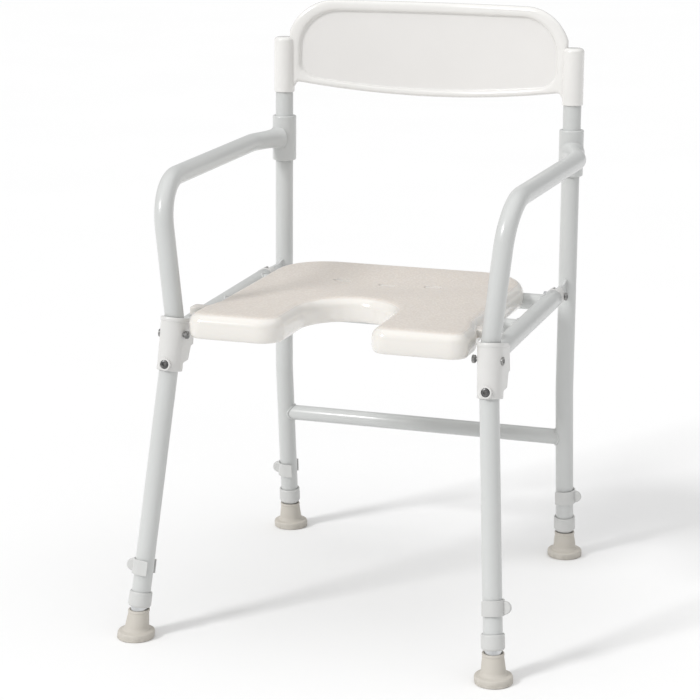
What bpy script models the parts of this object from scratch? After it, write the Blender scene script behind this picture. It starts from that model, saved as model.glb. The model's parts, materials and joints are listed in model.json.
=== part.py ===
"""Shower stool with back and arms, in metres, +Z up.

The sitter faces -Y. The origin is on the floor, at the middle of the four feet. Left and right are
as seen from the front, so left is -X. A pair of pieces is made by one function with side -1 or +1.
"""

import math

import bmesh
import bpy
from mathutils import Matrix, Vector

NAME = "shower_stool"
SIDES = {"left": -1, "right": 1}

# Tubes: every frame tube is 25 mm, and a 22 mm leg extension slides inside it.
TUBE_RADIUS = 0.0125
TUBE_WALL = 0.0012
EXTENSION_RADIUS = 0.0110
CROSS_RADIUS = 0.0110
GAP = 0.0003
ROUND_SIDES = 20

# Rear tubes: upright above the bend, raked back below it.
REAR_X = 0.211
BEND_Y = 0.2263
BEND_Z = 0.255
LEAN_ABOVE = 0.021
LEAN_BELOW = -0.095
REAR_TOP_Z = 0.724
CROSS_BAR_Z = 0.182

# Front legs: splayed outwards and forwards towards the floor.
FRONT_FOOT = Vector((0.2435, -0.2508, 0.0))
FRONT_KNEE = Vector((0.2117, -0.1804, 0.400))
FRONT_TOP_Z = 0.384

# Leg ends, as heights above the floor with the legs at their shortest.
TUBE_END_Z = 0.045
COLLAR_LOW_Z = 0.041
COLLAR_HIGH_Z = 0.061
COLLAR_RADIUS = 0.0152
CLIP_Z = 0.093
CLIP_HEIGHT = 0.020
CLIP_WALL = 0.0024
HOLE_RADIUS = 0.0032
HOLE_PITCH = 0.025
HOLE_COUNT = 6
EXTENSION_LOW_Z = 0.010
EXTENSION_HIGH_Z = 0.230
FOOT_RADIUS = 0.0245
FOOT_FLANGE = 0.013
FOOT_TOP_Z = 0.0375

# Arms: one bent tube welded to a sleeve that slides on the rear upright.
ARM_Z = 0.592
ARM_OUT = Vector((0.2356, 0.1703, ARM_Z))
ARM_FRONT = Vector((0.2315, -0.1703, ARM_Z))
ARM_END = Vector((0.2114, -0.1749, 0.408))
ARM_BEND_RADIUS = 0.060
SLEEVE_LOW_Z = 0.559
SLEEVE_HIGH_Z = 0.623
SLEEVE_RADIUS = 0.0170

# Knuckles: a moulding that holds the arm, the front leg and the seat rail.
KNUCKLE_LOW_Z = 0.349
KNUCKLE_HIGH_Z = 0.417
KNUCKLE_RADIUS = 0.0156
KNUCKLE_RIM_RADIUS = 0.0168
KNUCKLE_SOCKET_RADIUS = 0.0139
EAR_GAP = 0.0128
EAR_WALL = 0.0028
KNUCKLE_SCREW = Vector((REAR_X, -0.1807, 0.396))
SCREW_FACE = 0.0175
LEG_BOLT_Z = 0.3575
BOSS_RADIUS = 0.0080

# Seat frame: two rails and two cross tubes, hinged to a lug on each rear tube.
RAIL_HINGE = Vector((REAR_X, 0.1653, 0.403))
RAIL_SLOPE = 0.020
RAIL_REAR_Y = 0.1493
RAIL_FRONT_Y = -0.1602
CROSS_TUBES_Y = (0.1243, -0.0167)
LUG_THICKNESS = 0.005
LUG_RADIUS = 0.009
TONGUE_WIDTH = 0.012
TONGUE_HEIGHT = 0.016

# Seat: a deep moulded tray, open underneath, with a cut-out at the front.
SEAT_LOW_Z = 0.397
SEAT_HIGH_Z = 0.430
SEAT_HALF_WIDTH = 0.187
SEAT_WAIST_HALF_WIDTH = 0.179
SEAT_WAIST_Y = -0.1167
SEAT_REAR_Y = 0.1753
SEAT_FRONT_Y = -0.2037
SEAT_WALL = 0.0040
SEAT_EDGE = 0.011
CUT_HALF_WIDTH = 0.060
CUT_REAR_Y = -0.0507
SEAT_BOSS_X = 0.120
SEAT_LUG_Y = -0.1227
DRAIN_XS = (-0.065, 0.0, 0.065)
DRAIN_Y = 0.0633

# Backrest: a bowed panel between two sockets that push onto the rear tubes.
BACK_TOP_Z = 0.788
BACK_LOW_MIDDLE_Z = 0.656
BACK_LOW_SIDE_Z = 0.673
BACK_FLAT_HALF_WIDTH = 0.140
BACK_SHOULDER_RADIUS = 0.067
BACK_BOW = 0.024
BACK_THICKNESS = 0.007
SOCKET_LOW_Z = 0.657
SOCKET_HIGH_Z = 0.735
SOCKET_RADIUS = 0.0146

# Fasteners: M6 socket screws, and 4 mm screws for the plastics.
SCREW_RADIUS = 0.0029
HEAD_RADIUS = 0.0054
HEAD_HEIGHT = 0.0028
NUT_RADIUS = 0.0055
NUT_HEIGHT = 0.0042
SMALL_SCREW_RADIUS = 0.0019
SMALL_HEAD_RADIUS = 0.0038

X = Vector((1, 0, 0))
Y = Vector((0, 1, 0))
Z = Vector((0, 0, 1))


# Scene and materials

def clear_scene():
    for obj in list(bpy.data.objects):
        bpy.data.objects.remove(obj)


def new_collection(name):
    made = bpy.data.collections.new(name)
    bpy.context.scene.collection.children.link(made)
    return made


def new_material(name, colour, roughness, metallic=0.0):
    made = bpy.data.materials.new(name)
    made.use_nodes = True
    shader = made.node_tree.nodes["Principled BSDF"]
    shader.inputs["Base Color"].default_value = (*colour, 1.0)
    shader.inputs["Roughness"].default_value = roughness
    shader.inputs["Metallic"].default_value = metallic
    return made


clear_scene()
PARTS = new_collection(NAME)
CUTTERS = new_collection(NAME + "_cutters")
POWDER_COAT = new_material("powder_coat", (0.80, 0.82, 0.82), 0.35)
WHITE_PLASTIC = new_material("white_plastic", (0.86, 0.85, 0.83), 0.30)
CREAM_PLASTIC = new_material("cream_plastic", (0.80, 0.73, 0.65), 0.35)
GREY_PLASTIC = new_material("grey_plastic", (0.74, 0.74, 0.72), 0.45)
ALUMINIUM = new_material("aluminium", (0.75, 0.76, 0.77), 0.35, 1.0)
RUBBER = new_material("rubber", (0.68, 0.65, 0.60), 0.65)
BLACK_STEEL = new_material("black_steel", (0.05, 0.05, 0.05), 0.40, 1.0)
STEEL = new_material("steel", (0.60, 0.60, 0.60), 0.35, 1.0)


# Meshes

def mesh_of(obj):
    """The evaluated mesh of a helper object, welded, and the helper removed."""
    bpy.context.view_layer.update()
    graph = bpy.context.evaluated_depsgraph_get()
    mesh = bpy.data.meshes.new_from_object(obj.evaluated_get(graph))
    mesh.transform(obj.matrix_world)
    bpy.data.objects.remove(obj)
    work = bmesh.new()
    work.from_mesh(mesh)
    bmesh.ops.remove_doubles(work, verts=work.verts, dist=1e-6)
    bmesh.ops.recalc_face_normals(work, faces=work.faces)
    work.to_mesh(mesh)
    work.free()
    return mesh


def rod(points, radius, end_radius=None, sides=ROUND_SIDES):
    """A solid round bar along a polyline, tapering evenly where end_radius is given."""
    curve = bpy.data.curves.new("rod", "CURVE")
    curve.dimensions = "3D"
    curve.bevel_depth = 1.0
    curve.bevel_resolution = (sides - 4) // 2
    curve.use_fill_caps = True
    spline = curve.splines.new("POLY")
    spline.points.add(len(points) - 1)
    last = radius if end_radius is None else end_radius
    for index, (point, place) in enumerate(zip(spline.points, points)):
        share = index / (len(points) - 1)
        point.co = (*place, 1.0)
        point.radius = radius + (last - radius) * share
    helper = bpy.data.objects.new("rod", curve)
    CUTTERS.objects.link(helper)
    return mesh_of(helper)


def turned(profile, steps=ROUND_SIDES):
    """A shape turned about Z from (radius, height) points that run down the outer side."""
    mesh = bpy.data.meshes.new("profile")
    points = [(radius, 0.0, height) for radius, height in profile]
    closed = profile[0][0] > 0 and profile[-1][0] > 0
    edges = [(i, i + 1) for i in range(len(points) - 1)]
    if closed:
        edges.append((len(points) - 1, 0))
    mesh.from_pydata(points, edges, [])
    helper = bpy.data.objects.new("profile", mesh)
    CUTTERS.objects.link(helper)
    screw = helper.modifiers.new("turn", "SCREW")
    screw.steps = steps
    screw.render_steps = steps
    screw.use_merge_vertices = True
    screw.merge_threshold = 1e-5
    return mesh_of(helper)


def plate(outline, low, high, edge=0.0):
    """A flat outline in X and Y filled from low to high, its rim rounded by edge."""
    curve = bpy.data.curves.new("outline", "CURVE")
    curve.dimensions = "2D"
    curve.fill_mode = "BOTH"
    curve.extrude = (high - low) / 2 - edge
    curve.bevel_depth = edge
    curve.bevel_resolution = 2
    spline = curve.splines.new("POLY")
    spline.use_cyclic_u = True
    spline.points.add(len(outline) - 1)
    for point, place in zip(spline.points, outline):
        point.co = (place[0], place[1], 0.0, 1.0)
    helper = bpy.data.objects.new("outline", curve)
    helper.location.z = (low + high) / 2
    CUTTERS.objects.link(helper)
    return mesh_of(helper)


def block(low, high):
    """A box between two corners."""
    work = bmesh.new()
    bmesh.ops.create_cube(work, size=1.0)
    size = Vector(high) - Vector(low)
    middle = (Vector(high) + Vector(low)) / 2
    placing = Matrix.Translation(middle) @ Matrix.Diagonal((*size, 1))
    bmesh.ops.transform(work, matrix=placing, verts=work.verts)
    mesh = bpy.data.meshes.new("block")
    work.to_mesh(mesh)
    work.free()
    return mesh


def side_plate(outline, middle_x, thickness):
    """A plate in the Y-Z plane, from (y, z) points, centred on middle_x."""
    mesh = plate(outline, -thickness / 2, thickness / 2)
    turn = Matrix(((0, 0, 1, middle_x), (1, 0, 0, 0), (0, 1, 0, 0), (0, 0, 0, 1)))
    mesh.transform(turn)
    return mesh


def add(name, mesh, material, parent=None):
    """A named part at the origin of the world, or kept in place under its parent."""
    mesh.name = name
    mesh.materials.clear()
    mesh.materials.append(material)
    mesh.shade_smooth()
    mesh.set_sharp_from_angle(angle=math.radians(35))
    obj = bpy.data.objects.new(name, mesh)
    PARTS.objects.link(obj)
    if parent is not None:
        mesh.transform(parent.matrix_world.inverted())
        obj.parent = parent
    return obj


def combine(obj, operation, meshes):
    """Boolean modifiers that add or cut the meshes, kept as wire helpers."""
    for mesh in meshes:
        helper = bpy.data.objects.new(obj.name + "_cutter", mesh)
        helper.hide_render = True
        helper.display_type = "WIRE"
        CUTTERS.objects.link(helper)
        if obj.parent is not None:
            mesh.transform(obj.parent.matrix_world.inverted())
            helper.parent = obj.parent
        modifier = obj.modifiers.new(operation.lower(), "BOOLEAN")
        modifier.operation = operation
        modifier.solver = "EXACT"
        modifier.object = helper


def weld_slivers(obj, within=0.000001):
    """Closes the hairline edges that a chain of Booleans leaves."""
    modifier = obj.modifiers.new("weld", "WELD")
    modifier.merge_threshold = within


def join(obj, *meshes):
    combine(obj, "UNION", meshes)


def cut(obj, *meshes):
    combine(obj, "DIFFERENCE", meshes)


def axis_empty(name, place, direction):
    """An empty on a joint's axis, its Z along the joint."""
    empty = bpy.data.objects.new(name, None)
    empty.empty_display_size = 0.02
    empty.matrix_world = Matrix.Translation(place) @ direction.to_track_quat("Z", "Y").to_matrix().to_4x4()
    PARTS.objects.link(empty)
    bpy.context.view_layer.update()
    return empty


# Paths and outlines

def rounded_path(corners, radius, steps=6):
    """A polyline through corners, each inner corner replaced by an arc of the radius."""
    points = [corners[0]]
    for before, corner, after in zip(corners, corners[1:], corners[2:]):
        to_before = (before - corner).normalized()
        to_after = (after - corner).normalized()
        half = to_before.angle(to_after) / 2
        reach = radius / math.tan(half)
        centre = corner + (to_before + to_after).normalized() * (radius / math.sin(half))
        start = corner + to_before * reach - centre
        end = corner + to_after * reach - centre
        turn = start.angle(end)
        for step in range(steps + 1):
            share = step / steps
            blend = start * math.sin((1 - share) * turn) + end * math.sin(share * turn)
            points.append(centre + blend / math.sin(turn))
    return points + [corners[-1]]


def rounded_outline(corners, steps=6):
    """A closed outline from (x, y, radius) corners."""
    points = []
    count = len(corners)
    for index, (x, y, radius) in enumerate(corners):
        before = Vector((*corners[index - 1][:2], 0))
        after = Vector((*corners[(index + 1) % count][:2], 0))
        arc = rounded_path([before, Vector((x, y, 0)), after], radius, steps)
        points += [(point.x, point.y) for point in arc[1:-1]]
    return points


def inset(outline, distance):
    """The outline moved inwards, which suits one drawn anticlockwise."""
    moved = []
    count = len(outline)
    for index, (x, y) in enumerate(outline):
        before = outline[index - 1]
        after = outline[(index + 1) % count]
        along = Vector((after[0] - before[0], after[1] - before[1])).normalized()
        moved.append((x - along.y * distance, y + along.x * distance))
    return moved


def rear_y(z):
    """The rear tube's axis: its Y at a height."""
    lean = LEAN_ABOVE if z > BEND_Z else LEAN_BELOW
    return BEND_Y + lean * (z - BEND_Z)


def rear_point(side, z):
    return Vector((side * REAR_X, rear_y(z), z))


def front_point(side, z):
    """The front leg's axis at a height."""
    share = z / FRONT_KNEE.z
    point = FRONT_FOOT.lerp(FRONT_KNEE, share)
    return Vector((side * point.x, point.y, z))


def rail_point(side, y):
    return Vector((side * REAR_X, y, RAIL_HINGE.z + RAIL_SLOPE * (y - RAIL_HINGE.y)))


def mirrored(point, side):
    return Vector((side * point.x, point.y, point.z))


def bolt(name, head_place, direction, length, radius, head_radius, head_height, material):
    """A screw whose head's underside is at head_place, its shank running along direction."""
    obj = add(name, rod([head_place - direction * head_height, head_place], head_radius, sides=12), material)
    shank = [head_place - direction * head_height / 2, head_place + direction * length]
    join(obj, rod(shank, radius, sides=12))
    socket_depth = head_height * 0.6
    top = head_place - direction * head_height
    cut(obj, rod([top - direction * 0.001, top + direction * socket_depth], head_radius * 0.46, sides=6))
    return obj


def nut(name, place, direction, bore):
    """A hexagon nut that starts at place and runs along direction."""
    obj = add(name, rod([place, place + direction * NUT_HEIGHT], NUT_RADIUS, sides=6), STEEL)
    cut(obj, rod([place - direction * 0.001, place + direction * (NUT_HEIGHT + 0.001)], bore, sides=12))
    return obj


# Rear frame

def make_rear_frame():
    """Two bent tubes, a cross bar and two hinge lugs, welded into one piece."""
    outers = []
    bores = []
    for side in SIDES.values():
        ends = [rear_point(side, TUBE_END_Z), rear_point(side, BEND_Z), rear_point(side, REAR_TOP_Z)]
        outers.append(rod(rounded_path(ends, 0.15, 3), TUBE_RADIUS))
        ends[0] = rear_point(side, TUBE_END_Z - 0.005)
        ends[2] = rear_point(side, REAR_TOP_Z + 0.005)
        bores.append(rod(rounded_path(ends, 0.15, 3), TUBE_RADIUS - TUBE_WALL))
    bar_ends = [rear_point(-1, CROSS_BAR_Z), rear_point(1, CROSS_BAR_Z)]
    frame = add("rear_frame", outers[0], POWDER_COAT)
    join(frame, outers[1], rod(bar_ends, CROSS_RADIUS), *[hinge_lug(side) for side in SIDES.values()])
    cut(frame, *bores, rod(bar_ends, CROSS_RADIUS - TUBE_WALL))
    for side in SIDES.values():
        hinge = mirrored(RAIL_HINGE, side)
        hinge_hole = rod([hinge - X * 0.01, hinge + X * 0.01], HOLE_RADIUS, sides=12)
        cut(frame, hinge_hole, clip_hole(rear_point, side))


def hinge_lug(side):
    """A flat lug with a round nose, from the rear tube's front wall to the hinge."""
    y, z = RAIL_HINGE.y, RAIL_HINGE.z
    back = rear_y(z) - TUBE_RADIUS + TUBE_WALL * 0.6
    nose = [math.radians(90 + 22.5 * step) for step in range(9)]
    outline = [(y + LUG_RADIUS * math.cos(a), z + LUG_RADIUS * math.sin(a)) for a in nose]
    outline += [(back, z - LUG_RADIUS * 1.4), (back, z + LUG_RADIUS * 1.4)]
    return side_plate(outline, side * REAR_X, LUG_THICKNESS)


# Legs

def clip_hole(axis_point, side):
    """The cutter for the cross hole that the height clip's pin goes through."""
    place = axis_point(side, CLIP_Z)
    across = outward(axis_point, side)
    reach = across * (TUBE_RADIUS + 0.004)
    return rod([place - reach, place + reach], HOLE_RADIUS, sides=12)


def leg_direction(axis_point, side):
    """Up along a leg, from the floor."""
    return (axis_point(side, 0.2) - axis_point(side, 0.0)).normalized()


def outward(axis_point, side):
    """Away from the middle of the stool, square to the leg."""
    up = leg_direction(axis_point, side)
    across = X * side
    return (across - up * across.dot(up)).normalized()


def make_front_leg(word, side):
    ends = [front_point(side, TUBE_END_Z), front_point(side, FRONT_TOP_Z)]
    leg = add("front_leg_" + word, rod(ends, TUBE_RADIUS), POWDER_COAT)
    bore = [front_point(side, TUBE_END_Z - 0.005), front_point(side, FRONT_TOP_Z + 0.005)]
    cut(leg, rod(bore, TUBE_RADIUS - TUBE_WALL), clip_hole(front_point, side))
    place, forward = leg_bolt_axis(side)
    reach = forward * (TUBE_RADIUS + 0.004)
    cut(leg, rod([place - reach, place + reach], HOLE_RADIUS, sides=12))


def make_leg_end(word, axis_point, side):
    """The collar, clip, extension and foot of one leg."""
    up = leg_direction(axis_point, side)
    place = axis_point(side, COLLAR_LOW_Z)
    stance = Matrix.Translation(place) @ up.to_track_quat("Z", "Y").to_matrix().to_4x4()
    slide = axis_empty(word + "_slide", place, up)
    make_collar(word, stance)
    make_extension(word, axis_point, side, slide)
    make_foot(word, axis_point, side, slide)
    make_clip(word, axis_point, side)


def make_collar(word, stance):
    """A bush that caps the outer tube and guides the extension."""
    height = COLLAR_HIGH_Z - COLLAR_LOW_Z
    shoulder = TUBE_END_Z - COLLAR_LOW_Z - GAP
    profile = [
        (TUBE_RADIUS + GAP, height),
        (COLLAR_RADIUS - 0.0012, height),
        (COLLAR_RADIUS, height - 0.0016),
        (COLLAR_RADIUS, 0.0025),
        (COLLAR_RADIUS - 0.0018, 0.0),
        (EXTENSION_RADIUS + GAP, 0.0),
        (EXTENSION_RADIUS + GAP, shoulder),
        (TUBE_RADIUS + GAP, shoulder),
    ]
    mesh = turned(profile)
    mesh.transform(stance)
    add("leg_collar_" + word, mesh, GREY_PLASTIC)


def make_extension(word, axis_point, side, slide):
    """The inner tube, with a row of height holes."""
    ends = [axis_point(side, EXTENSION_LOW_Z), axis_point(side, EXTENSION_HIGH_Z)]
    up = leg_direction(axis_point, side)
    if axis_point is rear_point:
        ends = [axis_point(side, 0.0) + up * z / up.z for z in (EXTENSION_LOW_Z, EXTENSION_HIGH_Z)]
    tube = add("leg_extension_" + word, rod(ends, EXTENSION_RADIUS), ALUMINIUM, slide)
    cut(tube, rod([ends[0] - up * 0.005, ends[1] + up * 0.005], EXTENSION_RADIUS - TUBE_WALL))
    across = outward(axis_point, side) * (EXTENSION_RADIUS + 0.003)
    for step in range(HOLE_COUNT):
        place = axis_point(side, CLIP_Z) + up * HOLE_PITCH * step
        cut(tube, rod([place - across, place + across], HOLE_RADIUS, sides=8))


def make_foot(word, axis_point, side, slide):
    """A rubber foot: a flat base on the floor and a socket that leans with the leg."""
    bore = EXTENSION_RADIUS + 2 * GAP
    profile = [
        (0.0, EXTENSION_LOW_Z - 0.003),
        (bore, EXTENSION_LOW_Z - 0.003),
        (bore, FOOT_TOP_Z),
        (0.0132, FOOT_TOP_Z),
        (0.0142, FOOT_TOP_Z - 0.0015),
        (0.0163, FOOT_FLANGE + 0.002),
        (0.0195, FOOT_FLANGE - 0.0005),
        (0.0228, FOOT_FLANGE - 0.003),
        (FOOT_RADIUS, FOOT_FLANGE - 0.007),
        (FOOT_RADIUS, 0.003),
        (FOOT_RADIUS - 0.002, 0.0),
        (0.0, 0.0),
    ]
    up = leg_direction(axis_point, side)
    base = axis_point(side, 0.0)
    mesh = turned(profile, 24)
    lean = Matrix(((1, 0, up.x / up.z, base.x), (0, 1, up.y / up.z, base.y), (0, 0, 1, 0), (0, 0, 0, 1)))
    mesh.transform(lean)
    add("foot_" + word, mesh, RUBBER, slide)


def make_clip(word, axis_point, side):
    """A springy U-shaped band with a finger tab and a pin that locks the height."""
    out = outward(axis_point, side)
    up = leg_direction(axis_point, side)
    place = axis_point(side, CLIP_Z)
    stance = Matrix.Translation(place) @ Matrix((out, up.cross(out), up)).transposed().to_4x4()
    inner = TUBE_RADIUS + 2 * GAP
    outer = inner + CLIP_WALL
    arc = [math.radians(-90 + 15 * step) for step in range(13)]
    outline = [(outer * math.cos(a), outer * math.sin(a)) for a in arc]
    outline += [(-0.009, outer), (-0.0105, outer - CLIP_WALL / 2), (-0.009, inner)]
    outline += [(inner * math.cos(a), inner * math.sin(a)) for a in reversed(arc)]
    outline += [(-0.009, -inner), (-0.0105, CLIP_WALL / 2 - outer), (-0.009, -outer)]
    band = plate(outline, -CLIP_HEIGHT / 2, CLIP_HEIGHT / 2)
    band.transform(stance)
    clip = add("height_clip_" + word, band, GREY_PLASTIC, axis_empty(word + "_clip_pull", place, out))
    across = up.cross(out) * 0.003
    middle = place + out * (outer + 0.0005)
    join(clip, rod([middle - across, middle + across], CLIP_HEIGHT * 0.42, sides=16))
    cut(clip, rod([place - up * 0.02, place + up * 0.02], inner))
    tip = place + out * (TUBE_RADIUS - TUBE_WALL + GAP)
    join(clip, rod([tip, place + out * (inner + 0.001)], SCREW_RADIUS, sides=10))


# Arms

def make_arm(word, side):
    """The bent tube and the sleeve that it is welded to."""
    up = (rear_point(side, 0.7) - rear_point(side, 0.5)).normalized()
    slide = axis_empty("arm_lift_" + word, rear_point(side, ARM_Z), up)
    start = rear_point(side, ARM_Z)
    corners = [start, mirrored(ARM_OUT, side), mirrored(ARM_FRONT, side), mirrored(ARM_END, side)]
    path = rounded_path(corners, ARM_BEND_RADIUS, 7)
    arm = add("arm_" + word, rod(path, TUBE_RADIUS), POWDER_COAT, slide)
    join(arm, rod([rear_point(side, SLEEVE_LOW_Z), rear_point(side, SLEEVE_HIGH_Z)], SLEEVE_RADIUS))
    along = (corners[1] - start).normalized()
    bore = [start + along * (SLEEVE_RADIUS + 0.001)] + path[1:-1]
    bore.append(path[-1] + (path[-1] - path[-2]).normalized() * 0.004)
    cut(arm, rod(bore, TUBE_RADIUS - TUBE_WALL))
    ends = [rear_point(side, SLEEVE_LOW_Z - 0.004), rear_point(side, SLEEVE_HIGH_Z + 0.004)]
    cut(arm, rod(ends, TUBE_RADIUS + GAP))


# Knuckles

def leg_bolt_axis(side):
    """A point on the leg's axis and the way the bolt's head faces."""
    up = leg_direction(front_point, side)
    forward = -Y
    return front_point(side, LEG_BOLT_Z), (forward - up * forward.dot(up)).normalized()


def ear_outline():
    """One ear's (y, z) outline: deep at the rail, stepping in below it."""
    y = KNUCKLE_SCREW.y
    return [
        (y, KNUCKLE_HIGH_Z - 0.003),
        (y + 0.035, KNUCKLE_HIGH_Z - 0.012),
        (y + 0.035, KNUCKLE_HIGH_Z - 0.040),
        (y + 0.027, KNUCKLE_HIGH_Z - 0.041),
        (y + 0.020, KNUCKLE_LOW_Z + 0.010),
        (y + 0.011, KNUCKLE_LOW_Z + 0.009),
        (y + 0.006, KNUCKLE_LOW_Z + 0.001),
        (y - 0.006, KNUCKLE_LOW_Z + 0.001),
    ]


def make_knuckle(word, side):
    low = front_point(side, KNUCKLE_LOW_Z)
    arm_end = mirrored(ARM_END, side)
    arm_up = (mirrored(ARM_FRONT, side) - arm_end).normalized()
    high = arm_end + arm_up * ((KNUCKLE_HIGH_Z - arm_end.z) / arm_up.z)
    knuckle = add("knuckle_" + word, rod([low, high], KNUCKLE_RADIUS, KNUCKLE_RIM_RADIUS, 24), WHITE_PLASTIC)
    ear_x = EAR_GAP + EAR_WALL / 2
    for offset in (-ear_x, ear_x):
        join(knuckle, side_plate(ear_outline(), side * REAR_X + offset, EAR_WALL))
    place, forward = leg_bolt_axis(side)
    boss_face = place + forward * (KNUCKLE_RADIUS + 0.0022)
    join(knuckle, rod([place, boss_face], BOSS_RADIUS, sides=16))
    up = leg_direction(front_point, side)
    cut(knuckle, rod([low - up * 0.006, front_point(side, FRONT_TOP_Z + 0.001)], TUBE_RADIUS + GAP))
    floor = arm_end - arm_up * 0.0012
    cut(knuckle, rod([floor, high + arm_up * 0.006], KNUCKLE_SOCKET_RADIUS))
    counterbore = [boss_face - forward * 0.0032, boss_face + forward * 0.002]
    cut(knuckle, rod(counterbore, HEAD_RADIUS + GAP, sides=16))
    reach = forward * 0.03
    cut(knuckle, rod([place - reach, place + reach], HOLE_RADIUS, sides=10))
    screw = mirrored(KNUCKLE_SCREW, side)
    cut(knuckle, rod([screw - X * 0.03, screw + X * 0.03], HOLE_RADIUS, sides=12))
    head = screw + X * side * (SCREW_FACE - GAP)
    cut(knuckle, rod([head, head + X * side * 0.01], HEAD_RADIUS + GAP, sides=16))
    half = Vector((TONGUE_WIDTH / 2 + GAP, 0, TONGUE_HEIGHT / 2 + GAP))
    cut(knuckle, block(screw - half - Y * 0.0085, screw + half + Y * 0.030))
    rail = [rail_point(side, RAIL_FRONT_Y + 0.05), rail_point(side, RAIL_FRONT_Y - GAP)]
    cut(knuckle, rod(rail, TUBE_RADIUS + GAP))


def make_knuckle_fasteners(word, side):
    out = X * side
    screw = mirrored(KNUCKLE_SCREW, side)
    nut_face = EAR_GAP + EAR_WALL + GAP
    bolt("knuckle_screw_" + word, screw + out * SCREW_FACE, -out, SCREW_FACE + nut_face + 0.005,
         SCREW_RADIUS, HEAD_RADIUS, HEAD_HEIGHT, STEEL)
    nut("knuckle_nut_" + word, screw - out * nut_face, -out, SCREW_RADIUS + GAP)
    place, forward = leg_bolt_axis(side)
    head = place + forward * (KNUCKLE_RADIUS + 0.0022 - 0.0032 + GAP)
    bolt("leg_bolt_" + word, head, -forward, 0.0365, SCREW_RADIUS, HEAD_RADIUS, HEAD_HEIGHT, BLACK_STEEL)
    nut("leg_nut_" + word, place - forward * (KNUCKLE_RADIUS + 0.0012), -forward, SCREW_RADIUS + GAP)


# Seat frame

def make_seat_frame():
    """Two rails joined by two cross tubes."""
    rails = []
    bores = []
    for side in SIDES.values():
        ends = [rail_point(side, RAIL_REAR_Y), rail_point(side, RAIL_FRONT_Y)]
        rails.append(rod(ends, TUBE_RADIUS))
        ends = [rail_point(side, RAIL_REAR_Y + 0.005), rail_point(side, RAIL_FRONT_Y - 0.005)]
        bores.append(rod(ends, TUBE_RADIUS - TUBE_WALL))
    frame = add("seat_frame", rails[0], POWDER_COAT)
    for y in CROSS_TUBES_Y:
        ends = [rail_point(-1, y), rail_point(1, y)]
        rails.append(rod(ends, CROSS_RADIUS))
        bore = [end - X * math.copysign(TUBE_RADIUS + 0.001, end.x) for end in ends]
        bores.append(rod(bore, CROSS_RADIUS - TUBE_WALL))
    join(frame, *rails[1:])
    for x, y in seat_boss_places():
        place = seat_boss_point(x, y)
        cut(frame, rod([place - Z * 0.017, place + Z * 0.021], SMALL_SCREW_RADIUS + GAP, sides=12))
    cut(frame, *bores)


def make_rail_rear_plug(word, side):
    """A fork pushed into the rail's rear end, its two cheeks astride the lug."""
    hinge = mirrored(RAIL_HINGE, side)
    nose = [math.radians(-90 + 20 * step) for step in range(10)]
    outline = [(hinge.y + TUBE_RADIUS * math.cos(a), hinge.z + TUBE_RADIUS * math.sin(a)) for a in nose]
    back = RAIL_REAR_Y + GAP
    outline += [(back, hinge.z + TUBE_RADIUS - 0.0003), (back, hinge.z - TUBE_RADIUS - 0.0003)]
    plug = add("rail_rear_plug_" + word, side_plate(outline, hinge.x, 2 * TUBE_RADIUS), WHITE_PLASTIC)
    stem = [rail_point(side, RAIL_REAR_Y - 0.020), rail_point(side, RAIL_REAR_Y + 0.003)]
    join(plug, rod(stem, TUBE_RADIUS - TUBE_WALL - GAP))
    half = LUG_THICKNESS / 2 + GAP
    low = Vector((hinge.x - half, hinge.y - LUG_RADIUS - 0.001, hinge.z - 0.02))
    high = Vector((hinge.x + half, hinge.y + 0.03, hinge.z + 0.02))
    cut(plug, block(low, high), rod([hinge - X * 0.02, hinge + X * 0.02], HOLE_RADIUS, sides=12))


def make_rail_front_plug(word, side):
    """A plug in the rail's front end, its tongue held in the knuckle by the cross screw."""
    screw = mirrored(KNUCKLE_SCREW, side)
    stem = [rail_point(side, RAIL_FRONT_Y + 0.022), rail_point(side, RAIL_FRONT_Y - GAP + 0.0005)]
    plug = add("rail_front_plug_" + word, rod(stem, TUBE_RADIUS - TUBE_WALL - GAP), WHITE_PLASTIC)
    half = Vector((TONGUE_WIDTH / 2, 0, TONGUE_HEIGHT / 2))
    join(plug, block(screw - half - Y * 0.0075, Vector((screw.x, RAIL_FRONT_Y + 0.004, screw.z)) + half))
    cut(plug, rod([screw - X * 0.02, screw + X * 0.02], HOLE_RADIUS, sides=12))


def make_hinge_fasteners(word, side):
    out = X * side
    hinge = mirrored(RAIL_HINGE, side)
    face = TUBE_RADIUS + GAP
    bolt("hinge_screw_" + word, hinge + out * face, -out, 2 * face + 0.005,
         SCREW_RADIUS, HEAD_RADIUS, HEAD_HEIGHT, STEEL)
    nut("hinge_nut_" + word, hinge - out * face, -out, SCREW_RADIUS + GAP)


# Seat

def seat_outline():
    """Anticlockwise from the rear left corner: round at the back, with a U-shaped cut-out in front."""
    wide, narrow, waist = SEAT_HALF_WIDTH, CUT_HALF_WIDTH, SEAT_WAIST_HALF_WIDTH
    return rounded_outline([
        (-waist, SEAT_REAR_Y, 0.075),
        (-waist, SEAT_WAIST_Y, 0.030),
        (-wide, SEAT_WAIST_Y - 0.032, 0.030),
        (-wide, SEAT_FRONT_Y, 0.022),
        (-narrow, SEAT_FRONT_Y, 0.030),
        (-narrow, CUT_REAR_Y, narrow * 0.995),
        (narrow, CUT_REAR_Y, narrow * 0.995),
        (narrow, SEAT_FRONT_Y, 0.024),
        (wide, SEAT_FRONT_Y, 0.022),
        (wide, SEAT_WAIST_Y - 0.032, 0.030),
        (waist, SEAT_WAIST_Y, 0.030),
        (waist, SEAT_REAR_Y, 0.075),
    ])


def seat_boss_places():
    return [(x, y) for y in CROSS_TUBES_Y for x in (-SEAT_BOSS_X, SEAT_BOSS_X)]


def seat_boss_point(x, y):
    return Vector((x, y, rail_point(1, y).z))


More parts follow.
